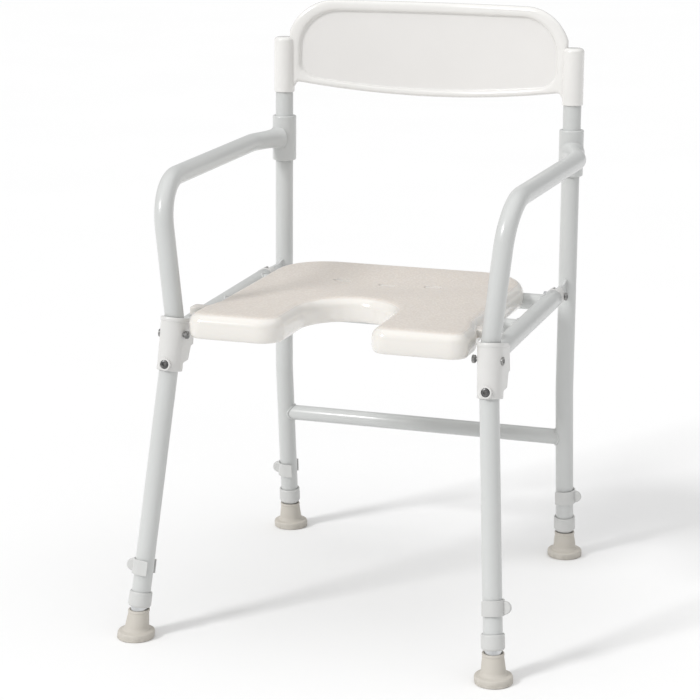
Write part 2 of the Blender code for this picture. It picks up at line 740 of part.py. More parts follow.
def make_seat():
    outline = seat_outline()
    body = inset(outline, SEAT_EDGE)
    seat = add("seat", plate(body, SEAT_LOW_Z - SEAT_EDGE, SEAT_HIGH_Z, SEAT_EDGE), CREAM_PLASTIC)
    cut(seat, block((-0.3, -0.3, SEAT_LOW_Z - 0.03), (0.3, 0.3, SEAT_LOW_Z)))
    cut(seat, plate(inset(outline, SEAT_WALL), SEAT_LOW_Z - 0.01, SEAT_HIGH_Z - SEAT_WALL - 0.004))
    for side in SIDES.values():
        join(seat, seat_lug(side, SEAT_LUG_Y))
    for x, y in seat_boss_places():
        place = seat_boss_point(x, y)
        top = Vector((x, y, SEAT_HIGH_Z - SEAT_WALL / 2))
        join(seat, rod([place + Z * (CROSS_RADIUS - 0.002), top], 0.007, sides=12))
    for y in CROSS_TUBES_Y:
        cut(seat, rod([rail_point(-1, y), rail_point(1, y)], CROSS_RADIUS + GAP))
    for x, y in seat_boss_places():
        place = seat_boss_point(x, y)
        cut(seat, rod([place, place + Z * 0.0190], SMALL_SCREW_RADIUS + GAP, sides=8))
    for side in SIDES.values():
        rail = [rail_point(side, RAIL_REAR_Y + 0.03), rail_point(side, RAIL_FRONT_Y - 0.03)]
        cut(seat, rod(rail, TUBE_RADIUS + GAP))
    for x in DRAIN_XS:
        corners = [(-1, -1), (1, -1), (1, 1), (-1, 1)]
        slot = rounded_outline([(x + 0.014 * i, DRAIN_Y + 0.006 * j, 0.0055) for i, j in corners], 3)
        cut(seat, plate(slot, SEAT_LOW_Z, SEAT_HIGH_Z + 0.01))


def seat_lug(side, y):
    """A saddle moulded on the seat's side, which rests on the rail."""
    inner = side * (SEAT_WAIST_HALF_WIDTH - SEAT_WALL + 0.001)
    outer = side * (REAR_X + 0.001)
    low_z = rail_point(side, y).z + 0.004
    return block((min(inner, outer), y - 0.010, low_z), (max(inner, outer), y + 0.010, SEAT_HIGH_Z - 0.008))


def make_seat_screws():
    for index, (x, y) in enumerate(seat_boss_places()):
        place = seat_boss_point(x, y) - Z * (CROSS_RADIUS + GAP)
        name = f"seat_screw_{index + 1}"
        bolt(name, place, Z, 0.0265, SMALL_SCREW_RADIUS, SMALL_HEAD_RADIUS, 0.0022, STEEL)


# Backrest

def back_top(x):
    """The panel's upper edge: level in the middle, then a round shoulder down to the socket."""
    beyond = max(0.0, abs(x) - BACK_FLAT_HALF_WIDTH)
    drop = BACK_SHOULDER_RADIUS - math.sqrt(max(0.0, BACK_SHOULDER_RADIUS**2 - beyond**2))
    return max(BACK_TOP_Z - drop, SOCKET_HIGH_Z - 0.002)


def back_bottom(x):
    """The panel's lower edge: a shallow sag, with a fillet into each socket."""
    inner_face = REAR_X - SOCKET_RADIUS
    sag = BACK_LOW_MIDDLE_Z + (BACK_LOW_SIDE_Z - BACK_LOW_MIDDLE_Z) * (x / inner_face) ** 2
    fillet = 0.012
    near = max(0.0, fillet - max(0.0, inner_face - abs(x)))
    return sag - fillet + math.sqrt(max(0.0, fillet**2 - near**2))


def make_backrest():
    columns, rows = 36, 5
    half = REAR_X - 0.002
    work = bmesh.new()
    grid = []
    for row in range(rows + 1):
        line = []
        for column in range(columns + 1):
            x = half * math.sin(math.pi / 2 * (2 * column / columns - 1))
            z = back_bottom(x) + (back_top(x) - back_bottom(x)) * row / rows
            y = rear_y(z) + BACK_BOW * (1 - (x / half) ** 2)
            line.append(work.verts.new((x, y, z)))
        grid.append(line)
    for lower, upper in zip(grid, grid[1:]):
        for a, b, c, d in zip(lower, lower[1:], upper[1:], upper):
            work.faces.new((a, b, c, d))
    mesh = bpy.data.meshes.new("backrest")
    work.to_mesh(mesh)
    work.free()
    backrest = add("backrest", mesh, WHITE_PLASTIC)
    shell = backrest.modifiers.new("thickness", "SOLIDIFY")
    shell.thickness = BACK_THICKNESS
    shell.offset = 0.0
    for side in SIDES.values():
        socket = [rear_point(side, SOCKET_LOW_Z), rear_point(side, SOCKET_HIGH_Z)]
        join(backrest, rod(socket, SOCKET_RADIUS, sides=24))
    for side in SIDES.values():
        ends = [rear_point(side, SOCKET_LOW_Z - 0.02), rear_point(side, REAR_TOP_Z + 0.001)]
        cut(backrest, rod(ends, TUBE_RADIUS + GAP))
        cut(backrest, back_screw_hole(side))


def back_screw_place(side):
    return rear_point(side, 0.690)


def back_screw_hole(side):
    place = back_screw_place(side)
    return rod([place, place + Y * 0.03], SMALL_SCREW_RADIUS + GAP, sides=8)


def make_back_screw(word, side):
    """A screw through the back of the socket, bearing on the tube."""
    place = back_screw_place(side) + Y * (SOCKET_RADIUS + GAP)
    length = SOCKET_RADIUS - TUBE_RADIUS
    bolt("back_screw_" + word, place, -Y, length, SMALL_SCREW_RADIUS, SMALL_HEAD_RADIUS, 0.0022, STEEL)


def build():
    make_rear_frame()
    make_seat_frame()
    make_seat()
    make_seat_screws()
    make_backrest()
    for word, side in SIDES.items():
        make_front_leg(word, side)
        make_arm(word, side)
        make_knuckle(word, side)
        make_knuckle_fasteners(word, side)
        make_rail_rear_plug(word, side)
        make_rail_front_plug(word, side)
        make_hinge_fasteners(word, side)
        make_back_screw(word, side)
        make_leg_end("front_" + word, front_point, side)
        make_leg_end("rear_" + word, rear_point, side)
    for obj in PARTS.objects:
        if obj.type == "MESH" and obj.modifiers:
            weld_slivers(obj)


build()
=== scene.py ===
"""The shower stool's finished surfaces, laid out piece by piece. Metres, +Z up, the sitter faces -Y."""

import json
import math

import bmesh
import bpy
import numpy as np
from mathutils.geometry import delaunay_2d_cdt
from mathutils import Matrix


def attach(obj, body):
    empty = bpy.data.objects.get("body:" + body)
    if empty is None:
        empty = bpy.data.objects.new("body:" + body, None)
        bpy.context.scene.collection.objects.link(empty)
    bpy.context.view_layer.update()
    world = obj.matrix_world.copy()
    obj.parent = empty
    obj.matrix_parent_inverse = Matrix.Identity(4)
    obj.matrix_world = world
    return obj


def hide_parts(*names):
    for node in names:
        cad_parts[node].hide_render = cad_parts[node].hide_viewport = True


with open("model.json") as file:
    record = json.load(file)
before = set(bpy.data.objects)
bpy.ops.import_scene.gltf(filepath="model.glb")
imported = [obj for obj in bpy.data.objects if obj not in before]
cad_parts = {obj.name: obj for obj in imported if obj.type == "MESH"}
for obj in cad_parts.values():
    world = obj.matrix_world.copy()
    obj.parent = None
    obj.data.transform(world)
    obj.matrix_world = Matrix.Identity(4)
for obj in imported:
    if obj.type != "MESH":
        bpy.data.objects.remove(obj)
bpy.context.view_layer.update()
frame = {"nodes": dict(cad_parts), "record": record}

SIDES = {"left": -1.0, "right": 1.0}
body_of = {node: body for body, nodes in frame["record"]["behaviour"]["bodies"].items() for node in nodes}


# ---------------------------------------------------------------------------
# Rear frame. Two 25 mm steel tubes, bent once and raked back below the bend, with a 22 mm cross bar and
# two pressed hinge lugs welded between and onto them. The whole frame is powder coated in pale grey
# after welding, so the coat runs over the beads in one skin.
#
# The shared measures: how far out the tubes lie, their radii, the hinge, the cross bar's height, and the
# two radii on which the weld beads lie.

RAIL_X = 0.211
TUBE_RADIUS, BAR_RADIUS, WALL = 0.0125, 0.011, 0.0014
HINGE_Y, HINGE_Z = 0.1653, 0.403
BAR_Z = 0.182
WELD_ON_BAR, WELD_ON_TUBE = 0.0112, 0.0126


class Field:
    """A value that varies over a surface. Python's operators on it add Math nodes."""

    def __init__(self, tree, socket):
        self.tree = tree
        self.socket = socket

    def node(self, kind, output=0, inputs=None, **settings):
        """One output of a new node: its settings are made first, then its sockets are given or linked."""
        made = self.tree.nodes.new("ShaderNode" + kind)
        for key, value in settings.items():
            setattr(made, key, value)
        for key, value in (inputs or {}).items():
            if isinstance(value, Field):
                self.tree.links.new(value.socket, made.inputs[key])
            else:
                made.inputs[key].default_value = value
        return Field(self.tree, made.outputs[output])

    def _math(self, operation, first, second):
        return self.node("Math", 0, {0: first, 1: second}, operation=operation)

    def __add__(self, other):
        return self._math("ADD", self, other)

    def __mul__(self, other):
        return self._math("MULTIPLY", self, other)

    def __sub__(self, other):
        return self._math("SUBTRACT", self, other)

    def __rsub__(self, other):
        return self._math("SUBTRACT", other, self)

    def clipped(self):
        return self.node("Clamp", 0, {"Value": self})

    def noise(self, scale, detail=3.0, roughness=0.5):
        """Cloudy noise from 0 to 1 read at this position."""
        inputs = {"Vector": self, "Scale": scale, "Detail": detail, "Roughness": roughness}
        return self.node("TexNoise", 0, inputs)

    def step(self, low, high):
        """0 below low and 1 above high, with a smooth rise between."""
        return self.node("MapRange", 0, {"Value": self, "From Min": low, "From Max": high},
                         interpolation_type="SMOOTHSTEP")

    def mix(self, first, second):
        """The first colour where this is 0 and the second where it is 1."""
        return self.node("Mix", 2, {0: self, 6: first, 7: second}, data_type="RGBA")

    __radd__ = __add__
    __rmul__ = __mul__


class Finish:
    """A material with one Principled shader, and the object's own position and height as fields."""

    def __init__(self, name, **numbers):
        self.material = bpy.data.materials.new(name)
        self.material.use_nodes = True
        self.tree = self.material.node_tree
        self.shader = self.tree.nodes["Principled BSDF"]
        for key, value in numbers.items():
            self.shader.inputs[key.replace("_", " ")].default_value = value
        self.place = Field(self.tree, None).node("TexCoord", 3)
        self.z = self.place.node("SeparateXYZ", 2, {0: self.place})

    def facing_up(self):
        """How far the surface faces up: 1 on a level top and 0 on a wall."""
        normal = self.place.node("NewGeometry", 1)
        return normal.node("SeparateXYZ", 2, {0: normal})

    def set(self, **fields):
        for key, value in fields.items():
            self.tree.links.new(value.socket, self.shader.inputs[key.replace("_", " ")])

    def relief(self, height, depth, before=None):
        """A height from 0 to 1 as bumps this many metres deep, on top of any bumps before."""
        inputs = {"Height": height, "Distance": depth, "Strength": 1.0}
        if before is not None:
            inputs["Normal"] = before
        return height.node("Bump", 0, inputs)


def powder_coat(name):
    """Pale grey powder coat: fine orange peel, faint clouding, and dull scuffs in thin long streaks."""
    coat = Finish(name, Coat_Weight=0.25, Coat_Roughness=0.12, Specular_IOR_Level=0.5)
    cloud = coat.place.noise(9.0, 3.0)
    peel = coat.place.noise(620.0, 2.0, 0.4)
    grain = coat.place.noise(2600.0, 1.0)
    streak_place = coat.place.node("Mapping", 0, {"Vector": coat.place, "Scale": (160.0, 160.0, 14.0)})
    scuff = streak_place.noise(1.0, 4.0, 0.6).step(0.63, 0.74) * cloud.step(0.45, 0.60)
    pale = cloud.mix((0.560, 0.570, 0.562, 1), (0.605, 0.615, 0.607, 1))
    coat.set(Base_Color=(scuff * 0.35).mix(pale, (0.52, 0.52, 0.51, 1)))
    coat.set(Roughness=(cloud * 0.08 + scuff * 0.20 + 0.27).clipped())
    coat.set(Normal=coat.relief(grain, 0.00001, coat.relief(peel, 0.00006)))
    return coat.material


def unit(vectors):
    return vectors / np.linalg.norm(vectors, axis=-1, keepdims=True)


def distances(path):
    """How far along a path each of its points lies."""
    return np.concatenate([[0], np.cumsum(np.linalg.norm(np.diff(path, axis=0), axis=1))])


def whole_turn(count):
    """Even angles round a circle."""
    return np.linspace(0, 2 * math.pi, count, endpoint=False)


def around(angle, first, second):
    """The directions at these angles, in the plane of two square directions or of each pair of them."""
    return np.cos(angle)[:, None] * first[..., None, :] + np.sin(angle)[:, None] * second[..., None, :]


def rounded(corners, radii, steps=8, closed=True):
    """A polygon or path with each corner replaced by an arc tangent to both its sides. The arc's centre
    lies on the corner's bisector, at the radius over the sine of half the corner's angle."""
    corners = np.asarray(corners, float)
    radii = np.broadcast_to(radii, len(corners))
    pieces = []
    for index, (corner, radius) in enumerate(zip(corners, radii)):
        if not closed and index in (0, len(corners) - 1):
            pieces.append(corner[None])
            continue
        before = corners[index - 1] - corner
        after = corners[(index + 1) % len(corners)] - corner
        half = 0.5 * math.acos(np.clip(unit(before) @ unit(after), -1, 1))
        if radius <= 0 or half > 1.5705:
            pieces.append(corner[None])
            continue
        longest = 0.495 * min(np.linalg.norm(before), np.linalg.norm(after))
        reach = min(radius / math.tan(half), longest)
        centre = corner + unit(unit(before) + unit(after)) * reach / math.cos(half)
        start = corner + unit(before) * reach - centre
        end = corner + unit(after) * reach - centre
        turn = math.pi - 2 * half
        share = np.linspace(0, 1, steps + 1)[:, None]
        swing = start * np.sin((1 - share) * turn) + end * np.sin(share * turn)
        pieces.append(centre + swing / math.sin(turn))
    return np.concatenate(pieces)


def quads(rows, columns, rows_close=False, columns_close=True):
    """The faces that join each row of points to the next, where the points are numbered row by row."""
    row = np.arange(rows if rows_close else rows - 1)[:, None]
    column = np.arange(columns if columns_close else columns - 1)[None, :]
    next_row = (row + 1) % rows * columns
    next_column = (column + 1) % columns
    corners = (row * columns + column, row * columns + next_column,
               next_row + next_column, next_row + column)
    return np.stack(np.broadcast_arrays(*corners), -1).reshape(-1, 4)


def swept(path, stations, radii, sides=40):
    """Rings round a path. Each ring's centre is at a distance along the path, and its two square
    directions are carried along the path without twist. Stations run on past either end in a line."""
    path = np.asarray(path, float)
    lengths = distances(path)
    tangents = unit(np.gradient(path, lengths, axis=0))
    side = np.cross(tangents[0], (0.0, 1.0, 0.0) if abs(tangents[0][1]) < 0.8 else (0.0, 0.0, 1.0))
    across = []
    for tangent in tangents:
        side = unit(side - tangent * (side @ tangent))
        across.append(side)
    across = np.array(across)
    stations = np.asarray(stations, float)
    inside = np.clip(stations, 0, lengths[-1])

    def along(values):
        return np.stack([np.interp(inside, lengths, values[:, axis]) for axis in range(3)], -1)

    forward = unit(along(tangents))
    centres = along(path) + forward * (stations - inside)[:, None]
    first = along(across)
    first = unit(first - forward * (first * forward).sum(-1, keepdims=True))
    second = np.cross(forward, first)
    ring = around(whole_turn(sides), first, second)
    return centres[:, None] + ring * np.asarray(radii, float)[:, None, None]


def turned(start, end, profile, sides):
    """A profile of distances and radii, turned about the line from start towards end."""
    profile = np.asarray(profile, float)
    return swept([start, end], profile[:, 0], profile[:, 1], sides)


def skin(grid, rows_close=False):
    """A grid of rings and its faces. Where the rows close, the last ring joins the first."""
    return grid, quads(grid.shape[0], grid.shape[1], rows_close)


def joined(*parts):
    """One array of points and one list of faces from several parts, each with its own points and faces."""
    starts = np.cumsum([0] + [points.size // 3 for points, _ in parts])
    faces = [face for (_, own), start in zip(parts, starts) for face in (own + start).tolist()]
    return np.concatenate([points.reshape(-1, 3) for points, _ in parts]), faces


def shells(*grids):
    """The points and faces of several grids of rings, each with its last ring joined to its first."""
    return joined(*[skin(grid, True) for grid in grids])


def piece(name, points, faces, material, sharp=38):
    """A finished object. Doubled points are merged, so that poles and seams close, and its faces are turned
    outwards."""
    mesh = bpy.data.meshes.new(name)
    mesh.from_pydata(np.asarray(points).tolist(), [], faces)
    work = bmesh.new()
    work.from_mesh(mesh)
    bmesh.ops.remove_doubles(work, verts=work.verts, dist=2e-6)
    bmesh.ops.dissolve_degenerate(work, edges=work.edges, dist=1e-7)
    bmesh.ops.delete(work, geom=[edge for edge in work.edges if edge.is_wire], context="EDGES")
    bmesh.ops.recalc_face_normals(work, faces=work.faces)
    work.to_mesh(mesh)
    work.free()
    mesh.materials.append(material)
    mesh.shade_smooth()
    mesh.set_sharp_from_angle(angle=math.radians(sharp))
    obj = bpy.data.objects.new(name, mesh)
    bpy.context.scene.collection.objects.link(obj)
    return obj


def stands_for(obj, node):
    """The piece moves with the node's body and is shown in its place."""
    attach(obj, body_of[node])
    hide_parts(node)
    return obj


def tube(path, radius=TUBE_RADIUS, flare=None):
    """A tube with both ends open: out along the outer wall, over a rounded lip, and back along the inner
    wall. A flare adds to the outer radius near the start, falling away as exp(-distance / length)."""
    lip = 0.0004
    path = np.asarray(path, float)
    lengths = distances(path)
    total = lengths[-1]
    middle = lengths[(lengths > 0.003) & (lengths < total - 0.003)]
    if flare:
        middle = np.unique(np.concatenate([middle, np.linspace(0.003, 0.045, 22)]))
    outer = np.concatenate([[0, lip * 0.3, lip], middle, [total - lip, total - lip * 0.3, total]])
    radii = np.full(len(outer), radius)
    radii[[0, -1]] -= lip
    radii[[1, -2]] -= lip * 0.3
    if flare:
        radii = radii + flare[0] * np.exp(-outer / flare[1])
    inner_radii = np.full(len(outer), radius - WALL)
    return swept(path, np.concatenate([outer, outer[::-1]]), np.concatenate([radii, inner_radii]))


def rear_point(side, z):
    """The rear tube's axis: upright above 255 mm, raked back below."""
    lean = 0.021 if z > 0.255 else -0.095
    return np.array([side * RAIL_X, 0.2263 + lean * (z - 0.255), z])


def weld(curve, first, second, thickness):
    """A weld bead along a closed curve: a small round section in the plane of two square directions, which
    swells and shrinks with the welder's steps."""
    steps = 1 + 0.10 * np.sin(whole_turn(len(curve)) * 22)
    return curve[:, None] + around(whole_turn(10), first, second) * (thickness * steps)[:, None, None]


def bar_weld(side):
    """The bead where the cross bar meets an upright tube, on the curve where both their surfaces lie."""
    centre = rear_point(side, BAR_Z)
    angle = whole_turn(96)
    off_y = WELD_ON_BAR * np.cos(angle)
    off_x = -side * np.sqrt(WELD_ON_TUBE**2 - off_y**2)
    curve = centre + np.stack([off_x, off_y, WELD_ON_BAR * np.sin(angle)], -1)
    tangent = unit(np.roll(curve, -1, 0) - np.roll(curve, 1, 0))
    outward = unit(np.stack([off_x, off_y, np.zeros(96)], -1))
    return weld(curve, outward, np.cross(tangent, outward), 0.0016)


def side_slab(outline, middle_x, thickness, edge=0.0006):
    """A plate cut to an outline in Y and Z, with its two rims eased: rings of the outline, drawn in by the
    edge at each face, that shrink to the outline's middle."""
    outline = np.asarray(outline, float)
    middle = outline.mean(0)
    half = thickness / 2
    eased = 1 - edge / 0.010
    rows = [(0.0, -half), (0.5, -half), (eased, -half), (1.0, -half + edge)]
    rows += [(share, -offset) for share, offset in rows[::-1]]
    rings = []
    for share, offset in rows:
        flat = middle + (outline - middle) * share
        rings.append(np.column_stack([np.full(len(flat), middle_x + offset), flat]))
    return np.array(rings)


rear_tubes = []
for side in SIDES.values():
    corners = [rear_point(side, 0.045), rear_point(side, 0.255), rear_point(side, 0.724)]
    rear_tubes.append(tube(rounded(corners, 0.15, 14, closed=False)))
    back = rear_point(side, HINGE_Z)[1] - 0.0112
    nose = np.radians(np.linspace(90, 270, 25))
    outline = [(HINGE_Y + 0.009 * math.cos(a), HINGE_Z + 0.009 * math.sin(a)) for a in nose]
    outline += [(back - 0.018, HINGE_Z - 0.0085), (back, HINGE_Z - 0.0126),
                (back, HINGE_Z + 0.0126), (back - 0.018, HINGE_Z + 0.0085)]
    rear_tubes.append(side_slab(outline, side * RAIL_X, 0.005))
    rear_tubes.append(bar_weld(side))
bar = [rear_point(side, BAR_Z) - [side * 0.004, 0, 0] for side in SIDES.values()]
rear_tubes.append(tube(bar, BAR_RADIUS))
coat = powder_coat("pale_grey_powder_coat")
rear = piece("rear_frame_coated", *shells(*rear_tubes), coat)
stands_for(rear, "rear_frame")


# ---------------------------------------------------------------------------
# Front legs. Straight 25 mm tubes that splay forwards and outwards to the floor, in the same coat. Each
# top end sits inside its knuckle, and each bottom end inside its collar.

front_foot = np.array([0.2435, -0.2508, 0.0])
front_knee = np.array([0.2117, -0.1804, 0.400])


def front_point(side, z):
    """The front leg's axis at a height."""
    return (front_foot + (front_knee - front_foot) * z / 0.4) * [side, 1, 1]


for word, side in SIDES.items():
    leg = tube([front_point(side, z) for z in np.linspace(0.045, 0.384, 12)])
    stands_for(piece(f"front_leg_{word}_coated", *shells(leg), coat), f"front_leg_{word}")


# ---------------------------------------------------------------------------
# Arms. One 25 mm tube with a tight bend at the front and a slight one at the back, welded to a sleeve
# that slides on the rear tube. The weld is ground smooth and coated, so the tube flares into the sleeve.

ARM_Z = 0.592
for word, side in SIDES.items():
    start = rear_point(side, ARM_Z)
    corners = [start, (side * 0.2356, 0.1703, ARM_Z), (side * 0.2315, -0.1703, ARM_Z),
               (side * 0.2114, -0.1749, 0.408)]
    path = rounded(corners, 0.060, 20, closed=False)
    path[0] = start + unit(path[1] - path[0]) * 0.0135
    arm = tube(path, flare=(0.0048, 0.0075))
    ends = rear_point(side, 0.559), rear_point(side, 0.623)
    tall = np.linalg.norm(ends[1] - ends[0])
    section = rounded([(0, 0.0128), (0, 0.0170), (tall, 0.0170), (tall, 0.0128)],
                      [0.0004, 0.0022, 0.0022, 0.0004], 6)
    sleeve = turned(*ends, section, 56)
    stands_for(piece(f"arm_{word}_coated", *shells(arm, sleeve), coat), f"arm_{word}")


# ---------------------------------------------------------------------------
# Seat frame. Two 25 mm rails with two 22 mm cross tubes welded between them, under the seat. The rails'
# ends are open and take the plastic plugs.

def rail_point(side, y):
    """The rail's axis, which drops a little towards the front."""
    return np.array([side * RAIL_X, y, 0.403 + 0.020 * (y - 0.1653)])


CROSS_TUBE_YS = (0.1243, -0.0167)
RAIL_BACK, RAIL_FRONT = 0.1493, -0.1602
rail_ys = np.linspace(RAIL_BACK, RAIL_FRONT, 10)
members = [tube([rail_point(side, y) for y in rail_ys]) for side in SIDES.values()]
for y in CROSS_TUBE_YS:
    ends = [rail_point(-1, y) + [0.006, 0, 0], rail_point(1, y) - [0.006, 0, 0]]
    members.append(tube(ends, BAR_RADIUS))
    angle = whole_turn(96)
    height = WELD_ON_BAR * np.sin(angle)
    radial = np.stack([np.zeros(96), np.cos(angle), np.sin(angle)], -1)
    for side in SIDES.values():
        inner = side * (RAIL_X - np.sqrt(WELD_ON_TUBE**2 - height**2))
        seam = np.stack([inner, y + WELD_ON_BAR * np.cos(angle), rail_point(side, y)[2] + height], -1)
        members.append(weld(seam, radial, np.array([side, 0, 0]), 0.0015))
stands_for(piece("seat_frame_coated", *shells(*members), coat), "seat_frame")


# ---------------------------------------------------------------------------
# Seat. One deep injection-moulded tray in cream plastic: a shallow dish on top with a fine raised
# anti-slip grain, drain slots, a rolled polished edge, and a U-shaped cut-out at the front.

def resampled(loop, count):
    """A closed loop walked at even steps."""
    closed = np.vstack([loop, loop[:1]])
    walk = distances(closed)
    steps = np.linspace(0, walk[-1], count, endpoint=False)
    return np.stack([np.interp(steps, walk, closed[:, axis]) for axis in range(closed.shape[1])], -1)


def inset(loop, distance):
    """An anticlockwise loop drawn inwards along its normals."""
    tangent = unit(np.roll(loop, -1, 0) - np.roll(loop, 1, 0))
    return loop + np.stack([-tangent[:, 1], tangent[:, 0]], -1) * np.asarray(distance).reshape(-1, 1)


def inside_loop(points, loop):
    """Which points lie inside a loop: a ray to the right from them crosses it an odd number of times."""
    x, y = points[:, :1], points[:, 1:]
    x1, y1 = loop[:, 0], loop[:, 1]
    x2, y2 = np.roll(loop, -1, 0).T
    crosses = ((y1 > y) != (y2 > y)) & (x < (x2 - x1) * (y - y1) / (y2 - y1 + 1e-15) + x1)
    return crosses.sum(1) % 2 == 1


def filled(loop, holes, spacing):
    """Triangles over the inside of a loop, less its holes: an even lattice of points and the loops' own."""
    low, high = loop.min(0), loop.max(0)
    steps = [np.arange(low[axis], high[axis], spacing) for axis in (0, 1)]
    lattice = np.stack(np.meshgrid(*steps), -1).reshape(-1, 2)
    keep = inside_loop(lattice, inset(loop, spacing * 0.6))
    for hole in holes:
        keep &= ~inside_loop(lattice, inset(hole, -spacing * 0.4))
    edges = []
    first = 0
    for one in (loop, *holes):
        edges += [(first + i, first + (i + 1) % len(one)) for i in range(len(one))]
        first += len(one)
    flat = np.concatenate([loop, *holes, lattice[keep]])
    made, _, triangles = delaunay_2d_cdt(flat.tolist(), edges, [], 0, 1e-9, False)[:3]
    made = np.array([tuple(point) for point in made])
    triangles = np.array(triangles)
    middles = made[triangles].mean(1)
    keep = inside_loop(middles, loop)
    for hole in holes:
        keep &= ~inside_loop(middles, hole)
    return made, triangles[keep]


SEAT_TOP, SEAT_UNDER = 0.4300, 0.4225
RIM_WIDTH = 0.021
SEAT_SCREW_XS = (-0.120, 0.120)
SEAT_LUG_Y = -0.1227
SEAT_WIDE, SEAT_WAIST, SEAT_CUT = 0.187, 0.179, 0.060
left = [(-SEAT_WAIST, 0.1753), (-SEAT_WAIST, -0.1167), (-SEAT_WIDE, -0.1487), (-SEAT_WIDE, -0.2037),
        (-SEAT_CUT, -0.2037), (-SEAT_CUT, -0.0507)]
corners = left + [(-x, y) for x, y in left[::-1]]
radii = [0.075, 0.03, 0.03, 0.022, 0.030, SEAT_CUT, SEAT_CUT, 0.022, 0.022, 0.03, 0.03, 0.075]
seat_loop = resampled(rounded(corners, radii, 24), 720)
slots = []
for x in (-0.065, 0.0, 0.065):
    box = [(x - 0.013, 0.0583), (x + 0.013, 0.0583), (x + 0.013, 0.0683), (x - 0.013, 0.0683)]
    slots.append(resampled(rounded(box, 0.0049, 8), 40))


def seat_dip(flat):
    """How far the top lies below its rim: a round dish, 6 mm deep, whose slope fades out at its edge."""
    away = np.hypot(flat[:, 0] / 0.150, (flat[:, 1] - 0.060) / 0.105)
    return 0.006 * np.cos(np.clip(away, 0, 1) * math.pi / 2) ** 2


rim = [(RIM_WIDTH, SEAT_TOP), (0.0180, SEAT_TOP)]
quarter = np.linspace(0, math.pi / 2, 15)
rim += [(0.0155 * (1 - math.sin(a)), 0.4150 + 0.0150 * math.cos(a)) for a in quarter]
rim += [(0.0, 0.4105), (0.0002, 0.4060), (0.0010, 0.4010), (0.0022, 0.3984), (0.0032, 0.3975),
        (0.0040, 0.3978), (0.0044, 0.4000), (0.0047, 0.4080), (0.0060, 0.4140), (0.0100, 0.4190),
        (RIM_WIDTH, SEAT_UNDER)]
rings = []
for depth, height in rim:
    flat = inset(seat_loop, depth)
    drop = seat_dip(flat) if depth == RIM_WIDTH else 0.0
    rings.append(np.column_stack([flat, height - drop + np.zeros(len(flat))]))
seat_parts = [skin(np.array(rings))]
flat, triangles = filled(inset(seat_loop, RIM_WIDTH), slots, 0.005)
for height in (SEAT_TOP, SEAT_UNDER):
    seat_parts.append((np.column_stack([flat, height - seat_dip(flat)]), triangles))
for slot in slots:
    levels = [np.column_stack([slot, height - seat_dip(slot)]) for height in (SEAT_TOP, 0.427, SEAT_UNDER)]
    seat_parts.append(skin(np.array(levels)))
post_profile = [(0.0, 0.0), (0.0, 0.0066), (0.0006, 0.0070), (0.0112, 0.0076), (0.0112, 0.0)]
for x in SEAT_SCREW_XS:
    for y in CROSS_TUBE_YS:
        level = rail_point(1, y)[2] + 0.0113
        seat_parts.append(skin(turned((x, y, level), (x, y, level + 0.02), post_profile, 32), True))
for side in SIDES.values():
    low = rail_point(side, SEAT_LUG_Y)[2] + 0.0131
    front, rear = SEAT_LUG_Y - 0.010, SEAT_LUG_Y + 0.010
    block = rounded([(front, low), (rear, low), (rear, 0.4215), (front, 0.4215)], 0.0016, 5)
    middle = block.mean(0)
    lug = []
    for x, share in ((0.175, 0.0), (0.175, 1.0), (0.206, 1.0), (0.2085, 0.90), (0.2095, 0.0)):
        lug.append(np.column_stack([np.full(len(block), side * x), middle + (block - middle) * share]))
    seat_parts.append(skin(np.array(lug)))

plastic = Finish("cream_moulded_plastic", Subsurface_Weight=0.06, Subsurface_Radius=(0.004, 0.003, 0.002),
                 Coat_Roughness=0.04)
cloud = plastic.place.noise(14.0, 3.0)
facing = plastic.facing_up().step(0.80, 0.97)
top = plastic.z.step(0.4200, 0.4230) * facing
pebble = plastic.place.node("TexVoronoi", 0, {"Vector": plastic.place, "Scale": 300.0}, feature="SMOOTH_F1")
grain = (1 - pebble.step(0.10, 0.62)) * top
ripple = plastic.place.noise(90.0, 2.0)
valley = cloud.mix((0.655, 0.600, 0.545, 1), (0.690, 0.635, 0.580, 1))
crest = cloud.mix((0.710, 0.660, 0.605, 1), (0.750, 0.700, 0.645, 1))
plastic.set(Base_Color=(1 - top).mix(grain.mix(valley, crest), (0.770, 0.745, 0.705, 1)))
plastic.set(Coat_Weight=((1 - top) * 0.6).clipped())
plastic.set(Roughness=(top * 0.20 + cloud * 0.06 + 0.13).clipped())
plastic.set(Normal=plastic.relief(grain, 0.00018, plastic.relief(ripple, 0.00008)))
seat = piece("seat_moulding", *joined(*seat_parts), plastic.material, 50)
stands_for(seat, "seat")


# ---------------------------------------------------------------------------
# Backrest. One gloss-white moulding, bowed rearwards between two blind sockets that push onto the rear
# tubes. A raised polished rim runs all round a recessed panel with a fine spark texture.

def back_top(x):
    """The upper edge: level, then a quarter-round shoulder down to the socket."""
    beyond = np.clip(np.abs(x) - 0.140, 0, 0.067)
    return np.maximum(0.788 - 0.067 + np.sqrt(0.067**2 - beyond**2), 0.733)


def back_low(x):
    """The lower edge: a long sag that turns down into each socket in a small quarter round."""
    reach, round_off = 0.1985, 0.012
    near = np.clip(np.abs(x) - (reach - round_off), 0, round_off)
    drop = round_off - np.sqrt(round_off**2 - near**2)
    return 0.656 + 0.017 * np.minimum(np.abs(x) / reach, 1) ** 2 - drop


def back_bow(x, z):
    """The panel's middle surface: the lean of the tubes and a parabola 24 mm deep."""
    return 0.2263 + 0.021 * (z - 0.255) + 0.024 * (1 - (x / 0.209) ** 2)


def panel_low(x):
    """The recessed panel's lower edge: the sag again, a rim's width higher, with rounded corners."""
    corner = 0.024 - np.sqrt(0.024**2 - np.clip(np.abs(x) - 0.162, 0, 0.024) ** 2)
    return 0.6665 + 0.017 * (x / 0.1985) ** 2 + corner


